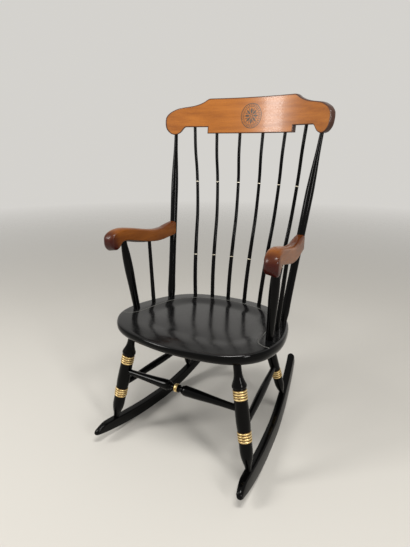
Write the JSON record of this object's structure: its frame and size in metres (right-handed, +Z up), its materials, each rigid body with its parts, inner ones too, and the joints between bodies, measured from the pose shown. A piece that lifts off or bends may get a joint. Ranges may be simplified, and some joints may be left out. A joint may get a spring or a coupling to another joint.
{
  "type": "rocking chair",
  "caption": "Turned wooden rocking chair with a saddled plank seat, spindle back, shaped crest rail, scrolled arms and bent rockers.",
  "frame": {"origin": "on the floor, under the middle of the chair's bounding box", "axes": "+X towards the sitter's left hand, -Y the way the sitter faces, +Z up"},
  "size_m": [0.6074, 0.67, 1.102],
  "materials": {
    "black_lacquer": "gloss black lacquer on hardwood, with gilt rings on the turnings",
    "stained_wood": "gloss varnish over honey to cherry stained hardwood, darker on end grain and edges",
    "screw_steel": "plain steel"
  },
  "bodies": {
    "root": {"seat": "black_lacquer", "crest_rail": "stained_wood", "rocker_left": "black_lacquer", "rocker_right": "black_lacquer", "front_leg_left": "black_lacquer", "front_leg_right": "black_lacquer", "rear_leg_left": "black_lacquer", "rear_leg_right": "black_lacquer", "side_stretcher_left": "black_lacquer", "side_stretcher_right": "black_lacquer", "front_stretcher": "black_lacquer", "rear_stretcher": "black_lacquer", "back_post_left": "black_lacquer", "back_post_right": "black_lacquer", "back_spindle_left_1": "black_lacquer", "back_spindle_left_2": "black_lacquer", "back_spindle_left_3": "black_lacquer", "back_spindle_right_1": "black_lacquer", "back_spindle_right_2": "black_lacquer", "back_spindle_right_3": "black_lacquer", "arm_support_left": "black_lacquer", "arm_support_right": "black_lacquer", "arm_spindle_left": "black_lacquer", "arm_spindle_right": "black_lacquer", "arm_left": "stained_wood", "arm_right": "stained_wood", "arm_screw_left": "screw_steel", "arm_screw_right": "screw_steel", "screw_plug_left": "black_lacquer", "screw_plug_right": "black_lacquer"}
  },
  "joints": []
}
